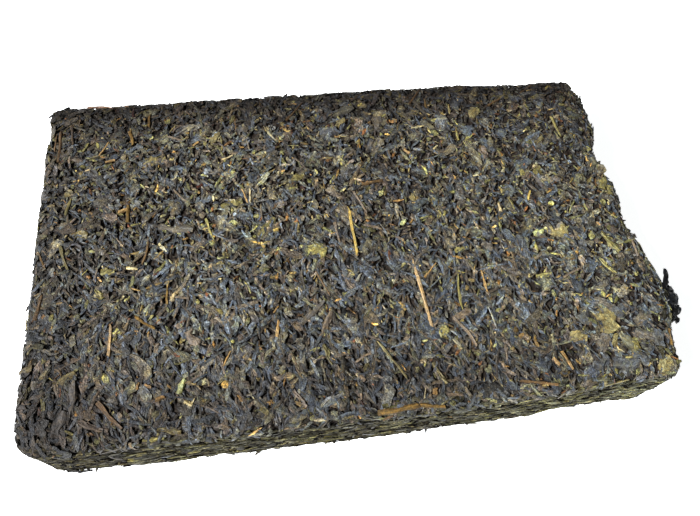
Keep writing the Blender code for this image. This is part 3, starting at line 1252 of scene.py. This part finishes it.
# %% Where the stalks lie
STALKS = [
    (0, -0.5, -88, 21, 1.3, gold, 0.03), (22.8, -30.3, 94, 29, 1.4, sand, 0.02),
    (27.8, -21.3, 45, 8, 0.9, tan), (-93.5, -37, 87, 11.5, 1.25, sand, 0.02),
    (6, -73.6, 4, 15, 1.9, golden_brown), (18.3, -73.9, -8, 9, 1.5, golden_brown),
    (27, -71, -10, 6, 1.2, dull_brown), (-118, 52.5, 89, 15, 1.3, brown),
    (-119.8, 55, 88, 9, 0.9, brown), (-113, 58, -82, 10, 1.2, dull_brown),
    (-88.3, 54.5, -80, 7.5, 1.5, golden_brown), (-88, 68.5, 90, 5, 1.2, red_brown),
    (-81.3, 63, 90, 6.5, 1.4, golden_brown), (-107.2, 51, 65, 4.8, 1.2, yellow_olive, 0.1),
    (-99.8, 50, 62, 8, 0.9, tan, 0.1), (-96.8, 43, 10, 4, 1.2, tan),
    (-70, 52.8, -25, 6.5, 1.1, dull_brown, 0.05), (-61.5, 49, 40, 3, 1.3, tan),
    (-48.5, 40.5, 25, 5, 1, light_tan, 0.15), (-44.3, 57.5, 90, 10, 0.8, brown),
    (-18, 63.5, 50, 12, 1, brown, 0.05), (-8.5, 51, 70, 3.2, 1, light_tan),
    (38.5, 68.5, 52, 11, 1, brown, 0.03), (42.6, 63.5, 88, 5, 1, golden_brown),
    (8.8, 43, 88, 5, 1, golden_brown), (29, 37, -50, 3.2, 1.2, tan),
    (75.5, 62.5, 25, 7, 1.3, brown), (78.5, 64.5, 38, 9, 0.9, khaki),
    (53.3, 43.5, 86, 5, 0.9, yellow_olive), (93, 69.5, 35, 9, 0.8, brown),
    (100.3, 45, -86, 11, 1.1, yellow_olive, 0.03), (-112, -1.5, -72, 11, 1.4, olive, 0.12),
    (-120.3, -1.5, -68, 8, 0.8, golden_brown), (-112, 21.5, 78, 8, 1.4, olive),
    (-88.8, 16, 90, 8, 1.3, golden_brown), (-90.8, 17.6, 22, 3.6, 1.5, tan),
    (-120, -21, 80, 10, 1.6, brown), (-68.5, 23, -48, 8, 0.8, dull_brown, 0.05),
    (-57, 6, -75, 11, 0.9, yellow_olive, 0.05), (-42.3, 20.5, -72, 7, 0.8, tan),
    (-40.2, 20.5, 88, 7, 0.9, light_tan, 0.1), (-81.3, -1, 80, 13, 0.9, brown, 0.25),
    (-73.5, -21.5, 88, 7, 0.9, golden_brown), (-68, -22.8, -12, 5, 1, dull_brown),
    (-22.5, 13.5, 50, 6.5, 0.7, dull_brown), (-6.3, -0.5, -84, 10.5, 1.1, dull_brown, 0.04),
    (-15, -22, -68, 11, 0.7, brown, 0.05), (12.5, 22.8, 10, 12, 1.2, brown, -0.12),
    (8.5, 1, -18, 7, 1.2, dull_brown, 0.05), (4.8, 13, -68, 11, 1, dull_brown, 0.06),
    (37.5, -31, 82, 15, 1, yellow_olive, -0.12), (36, -48, -62, 14, 1.4, dull_brown, -0.22),
    (7, -56, -60, 16, 1, khaki, 0.03), (48.5, -28, 90, 9, 1.1, tan),
    (72, -63.5, -72, 7.5, 1.2, tan), (62, -55, 88, 4.5, 1.2, golden_brown),
    (85.2, -28.3, 22, 10, 1.1, dull_brown), (63.2, 4.5, 88, 4, 1.2, light_tan),
    (78, 10, 62, 4.8, 1, gold), (116, -19.5, 86, 8, 1.2, dull_brown),
    (115.5, -59, 76, 7, 1.1, golden_brown), (-81.5, -31.5, -35, 9, 1.2, golden_brown, 0.08),
    (-52.5, -48.5, 60, 6, 0.8, tan), (-33.5, -39, 78, 6.5, 1.4, tan),
    (-92.5, -64, -50, 13, 1.7, brown, 0.10), (59, -70.5, -12, 14, 1.3, brown, 0.04),
    (89, -73.4, 8, 10, 0.8, khaki), (-76, -60, 20, 3, 1.5, amber),
    (-83.5, -55, 70, 2.5, 1.2, amber), (-80, -55.3, -30, 2.5, 1.2, amber),
    (20, -69, 80, 2.4, 2, amber), (57, -52, 40, 2.2, 1.4, amber),
    (24.5, 1.5, 60, 2.2, 1, amber), (-66.5, 2.5, 20, 2.2, 1, amber),
    (-0.5, 48, 0, 2.2, 1, amber), (-60.5, 27, 30, 2.6, 1.3, red_brown),
    (-31, 3.2, 20, 2.2, 1.3, gold), (39, 4, 60, 2.6, 1.2, yellow_olive),
    (67.5, -63.5, -60, 3.2, 1.4, tan), (107, 57.5, 0, 2.6, 1.3, yellow_olive),
]

print("stalks:", len(STALKS))

# %% [markdown]
# Large leaves lie open and flat. They are densest in the front right corner, where they overlap.

# %% Where the large leaves lie
LARGE_LEAVES = [
    (-15.5, -6.8, -20, 8, 6.5, yellow_olive), (91.8, -49.8, -66, 10.5, 8.5, khaki),
    (92.5, -58, 55, 6, 3, khaki), (78.8, -55.5, -15, 6.5, 5.2, khaki),
    (64, 56, 75, 6.5, 5.5, khaki), (-53.5, 51.5, 55, 7, 3.6, khaki),
    (-79, 42, 14, 9.5, 4, khaki), (-113, 28.5, 60, 4, 3, khaki),
    (-54, 34, 20, 5.5, 4.5, grey_leaf), (-42, 55, 40, 5.5, 5, grey_leaf),
    (-45.5, 60.5, 70, 5, 2, olive), (-20, 27.5, 30, 5.5, 4, olive),
    (2, 55.5, 45, 5.5, 3, khaki), (19, 54, 70, 7, 4.5, grey_leaf),
    (27, 72, 80, 5, 3, olive), (13.5, 42, 62, 7, 3, grey_leaf),
    (90, 38, 42, 6, 2.8, khaki), (-106, 7.8, -10, 4.8, 3.6, khaki),
    (-98.5, -0.5, 20, 4, 3, grey_leaf), (-95.5, -9, 0, 5, 4, yellow_olive),
    (-98.3, -18.5, -52, 5, 2.8, yellow_olive), (-48, 17.5, 8, 9, 3.4, olive),
    (-70, 7.5, -10, 13, 3.6, grey_leaf, 0.05), (-34.5, 4.5, 52, 11, 3.2, olive),
    (-64.8, -39.5, -60, 6.8, 3.6, dull_brown), (36.7, 3.8, 70, 3.6, 2.4, yellow_olive),
    (27.5, 13.5, 75, 5, 3, khaki), (42, -13.5, 15, 5.5, 2.6, yellow_olive, 0.1),
    (78, 22, 90, 4, 3.6, yellow_olive), (85, 22, 50, 5, 3.4, olive),
    (85.5, -9, 0, 7, 6, khaki), (53.5, -13, -42, 5, 3, grey_leaf),
    (105.5, -16, -65, 11, 3.2, olive, 0.05), (113, 13, 60, 6.5, 3, olive),
    (115.3, 9.5, 80, 5, 3.6, olive), (112.5, 25, 85, 4.5, 3.2, grey_olive),
    (101, -27, -55, 9.5, 2.2, yellow_olive), (-122.5, -44.6, 5, 7, 2.6, khaki),
    (-108, -49.5, 35, 7.5, 3.6, khaki), (-105.3, -58, 86, 15, 2.6, grey_leaf),
    (-98, -67, -24, 11, 3, dull_brown), (-109, -65, 70, 9, 4, grey_leaf),
    (-73, -71.3, -10, 8, 2.4, khaki), (-15.3, -39, 66, 11, 3.4, dull_brown),
    (-20, -34, 42, 13, 2.4, grey_leaf, 0.05), (-16.3, -51, -74, 8.5, 2.2, olive),
    (-28, -66, -55, 7.5, 2.2, dull_brown), (36, -41.8, 25, 8.5, 5, dull_brown),
    (28, -47.5, 70, 5, 4, yellow_olive), (23, -62.8, -66, 9, 1.5, khaki, 0.22),
    (73.3, -28, 8, 7, 2.6, yellow_olive), (100, -61, 80, 6.5, 4.8, olive),
    (109, -69, 45, 7, 4, khaki), (93.5, -43.2, -32, 8.5, 4.4, grey_leaf),
    (87.4, -58.7, 60, 8, 5, grey_leaf), (96.9, -59.4, -60, 8.5, 5, grey_olive),
    (84.4, -66.2, 20, 7.5, 5.5, blue_leaf), (94, -67.3, -5, 10.5, 5.5, blue_leaf),
    (106.4, -50.6, 30, 8.5, 6.5, grey_leaf), (100.7, -65.5, -40, 6.5, 5, blue_leaf),
    (113.5, -45, -70, 8, 4.5, blue_leaf), (99.5, -46.3, 40, 7.5, 5.5, blue_leaf),
    (84, -47, 70, 7.5, 5, blue_leaf), (104.5, -57.5, -20, 7.5, 5, grey_leaf),
    (110, -59, 75, 7, 4.5, blue_leaf),
]

print("large leaves:", len(LARGE_LEAVES))

# %% [markdown]
# Chips are small broken bits of pale leaf and stalk.

# %% Where the chips lie
CHIPS = [
    (36.5, 50.5, 8, 6.2, 1.4, cream), (21, 1.3, 20, 3.2, 2.4, pale_green),
    (76.8, -8.5, 0, 4.6, 3.8, pale_green), (-86.5, -8.7, -12, 4.2, 1.5, cream, 0.1),
    (-66.3, -62.8, -35, 3.2, 1.4, cream), (-64.9, -62.6, 50, 2.6, 1.2, cream),
    (-68.6, -56.8, 62, 5.5, 2.6, pale_green, 0.1), (-55, 20.5, 88, 3, 1.4, cream),
    (81.5, 56.5, -20, 3, 1.5, light_tan), (-15.5, 15, 12, 3.2, 1, cream),
    (-71.5, -22.3, 60, 3.2, 2.2, light_tan), (18, -57.5, 10, 2.4, 2.2, light_tan),
    (102.5, 51, 20, 3.2, 1.5, light_tan), (51.5, 50.3, -45, 2.6, 1, olive),
    (42, 38, 30, 3, 1.4, cream), (57, 22, 0, 2.6, 1, cream),
    (-53.7, -16.5, 0, 1.4, 1.1, cream),
]

print("chips:", len(CHIPS))

# %% [markdown]
# One function lays all three kinds. A stalk is as thick as it is wide, and a leaf is thin.

# %% Lay the placed pieces
def lay_one_by_one(name, rows, forms, thickness, finish, draw, depth=(0.0, 0.2), brighter=1.0):
    """Pieces from a list of places, laid on the top."""
    places, normals = drop_onto_top(middle[:2] + np.array([row[:2] for row in rows]) * MM)
    angles = np.radians([row[2] for row in rows])
    sizes = np.array([(row[3], row[4], thickness(row)) for row in rows])
    bends = np.array([(*(row[6:] or (0.0,)), 0.0, 0.0) for row in rows])
    tones = np.array([(*(brighter * np.array(row[5])), 1.0) for row in rows])
    lay(
        name, forms, places, normals, sizes, angles, tones, finish, draw, bends=bends,
        pitch=0.02, roll=0.08, depth=depth, plate=0.5, crumple=0.10, sharp=40,
        flank_light=0.7,
    )


picked = np.random.default_rng(31)
lay_one_by_one(
    "stalks", STALKS, [stalk(picked) for _ in range(12)], lambda row: row[4], stalk_finish, picked
)
lay_one_by_one(
    "large_leaves", LARGE_LEAVES,
    [blade(picked, columns=6, spans=7, blunt=0.85, ragged=0.24, crease=0.55) for _ in range(14)],
    lambda row: 0.4, open_finish, picked, depth=(-0.1, 0.12), brighter=1.10,
)
lay_one_by_one(
    "pale_chips", CHIPS, [blade(picked, columns=4, spans=4, blunt=0.9) for _ in range(6)],
    lambda row: 0.5, stalk_finish, picked, depth=(-0.15, 0.0),
)

# %% [markdown]
# ## Walls
# From the side one sees the leaf in layers, edge on. So here the thin way of each strand is upright
# and its breadth runs into the wall.

# %% Wall layers
def lay_wall_layers():
    draw = np.random.default_rng(16)
    places, normals = wall_places(3000, draw)
    count = len(places)
    forms = [rolled_shred(draw, 4, 3, twist=0.5, flatness=1.0, weave=0.10) for _ in range(20)]
    level = np.tile((0.0, 0.0, 1.0), (count, 1))
    along_wall = np.arctan2(normals[:, 0], -normals[:, 1])
    sizes = sizes_of(count, draw, (5.0, 0.35), (2.2, 0.25), (0.80, 0.30))
    lay(
        "wall_layers", forms, places, normals, sizes, along_wall + draw.normal(0, 0.25, count),
        tones_from(WALL, count, draw, 0.50), wall_finish, draw,
        pitch=0.16, roll=0.30, bend=0.14, depth=(0.25, 0.9), plate=0.1, loose=0.03,
        body_up=level,
    )


def lay_wall_flakes():
    draw = np.random.default_rng(17)
    places, normals = wall_places(1700, draw)
    count = len(places)
    forms = [blade(draw, columns=3, spans=3, crease=0.7) for _ in range(16)]
    sizes = sizes_of(count, draw, (4.8, 0.45), (1.7, 0.45), (0.35, 0.2))
    lay(
        "wall_flakes", forms, places, normals, sizes, draw.normal(0, 0.35, count),
        tones_from(WALL + OLIVE[:2], count, draw, 0.50), wall_finish, draw,
        pitch=0.10, roll=0.2, bend=0.14, depth=(0.0, 0.5), plate=0.1, loose=0.03,
    )


lay_wall_layers()
lay_wall_flakes()

# %% [markdown]
# ## The clump
# A clump of shiny black leaf, wetter when it was pressed, stands out of the torn right end. Its
# leaves are short and thick. They are scattered round one point and moved to the nearest skin.

# %% Black clump
CLUMP_MIDDLE = np.array((125.0, -43.5, 29.5)) * MM
CLUMP_SPREAD = np.array((1.0, 4.2, 2.2)) * MM


def nearest_skin(points):
    found = [skin.find_nearest(Vector(point)) for point in points]
    return np.array([hit[0] for hit in found]), np.array([hit[1] for hit in found])


def lay_clump():
    draw = np.random.default_rng(23)
    count = 55
    places, normals = nearest_skin(CLUMP_MIDDLE + draw.normal(0, 1, (count, 3)) * CLUMP_SPREAD)
    forms = [rolled_shred(draw, spans=6, flatness=0.8, blunt=(0.7, 0.95)) for _ in range(12)]
    lay(
        "black_clump", forms, places, normals,
        sizes_of(count, draw, (4.6, 0.25), (3.0, 0.25), (2.4, 0.2)),
        draw.uniform(0, math.pi, count), tones_from([wet_black], count, draw, 0.3),
        wet_black_finish, draw, pitch=0.22, roll=0.6, bend=0.20, depth=(-2.0, 0.2), plate=3.4,
        crumple=0.25, loose=0.0, flank_light=0.5,
    )


lay_clump()

# %% [markdown]
# ## The torn end
# Small dark bits make the torn right end ragged.

# %% Torn edge
def lay_torn_edge():
    draw = np.random.default_rng(27)
    count = 80
    along = cad_low.y + size.y * draw.uniform(0.42, 0.98, count)
    height = cad_high.z - 6 * MM * draw.uniform(0.2, 1, count)
    places, normals = nearest_skin(np.column_stack([np.full(count, cad_high.x), along, height]))
    forms = [rolled_shred(draw, sides=4, spans=4, flatness=0.8) for _ in range(12)]
    lay(
        "torn_edge", forms, places, normals,
        sizes_of(count, draw, (3.4, 0.35), (1.2, 0.3), (0.9, 0.2)),
        draw.uniform(0, math.pi, count), tones_from(BLUE_BLACK + BROWN_BLACK, count, draw, 0.4),
        shred_finish, draw, pitch=0.25, roll=0.5, bend=0.2, depth=(-0.4, 0.5), plate=1.0,
        loose=0.0,
    )


lay_torn_edge()

# %% [markdown]
# ## Loose ends round the rim
# A stubby leaf stands above the clump, and a few curled strands and stems stick out elsewhere. They
# lie level, so each is given its place in millimetres from the middle of the brick's foot, its turn
# in degrees, its length, its width, its bend and its tone.

# %% Loose ends
LOOSE_ENDS = [
    (122.9, -34.8, 34.4, 62, 10.0, 2.5, 0.0, wet_black),
    (-120.0, 72.4, 33.6, 30, 9.5, 1.5, -0.25, wet_black),
    (-121.5, 66.5, 32.5, 75, 5.0, 1.1, 0.20, wet_black),
    (118.0, 60.0, 33.0, 70, 8.0, 1.0, 0.30, wet_black),
    (118.5, 55.0, 33.0, 100, 6.0, 0.9, -0.35, wet_black),
    (118.5, 46.0, 32.0, 80, 5.0, 0.9, 0.30, wet_black),
    (-122.8, -62.0, 29.0, 99, 12, 2.3, 0.0, golden_brown),
    (-112.0, -74.8, 1.4, -6, 9, 1.0, 0.0, wet_black),
    (-99.0, 72.8, 34.1, -2, 17.5, 1.4, 0.0, rosy_brown),
]


def lay_loose_ends():
    draw = np.random.default_rng(24)
    rows = LOOSE_ENDS
    foot = np.array((middle[0], middle[1], cad_low.z))
    places = foot + np.array([row[:3] for row in rows]) * MM
    normals = nearest_skin(places)[1]
    sizes = np.array([(row[4], row[5], 0.75 * row[5]) for row in rows])
    bends = np.array([(row[6], 0.0, -0.15) for row in rows])
    forms = [rolled_shred(draw, spans=8, twist=0.5, blunt=(0.6, 0.9)) for _ in range(5)]
    level = np.tile((0.0, 0.0, 1.0), (len(rows), 1))
    lay(
        "loose_ends", forms, places, normals, sizes,
        np.radians([row[3] for row in rows]), np.array([(*row[7], 1.0) for row in rows]),
        wet_black_finish, draw, pitch=0.05, roll=0.2, depth=(0.0, 0.0), plate=4.0, loose=0.0,
        bends=bends, flank_light=0.6, body_up=level, painted_light=0.0,
    )


lay_loose_ends()

# %% [markdown]
# ## Underside
# The underside is pressed flatter than the top, against the plate of the mould, so its shreds lie
# closer to level and none stands proud of the foot.

# %% Underside shreds
def lay_underside():
    draw = np.random.default_rng(18)
    places, normals = under_places(3000, draw)
    count = len(places)
    forms = [rolled_shred(draw, 4, 3) for _ in range(20)]
    sizes = sizes_of(count, draw, (5.6, 0.32), (1.9, 0.28), (1.2, 0.2))
    lay(
        "underside_shreds", forms, places, normals, sizes, draw.uniform(0, math.pi, count),
        tones_from(BLUE_BLACK + BROWN_BLACK + GREY_BROWN, count, draw), shred_finish, draw,
        depth=(0.15, 0.9), plate=-0.05,
    )


lay_underside()
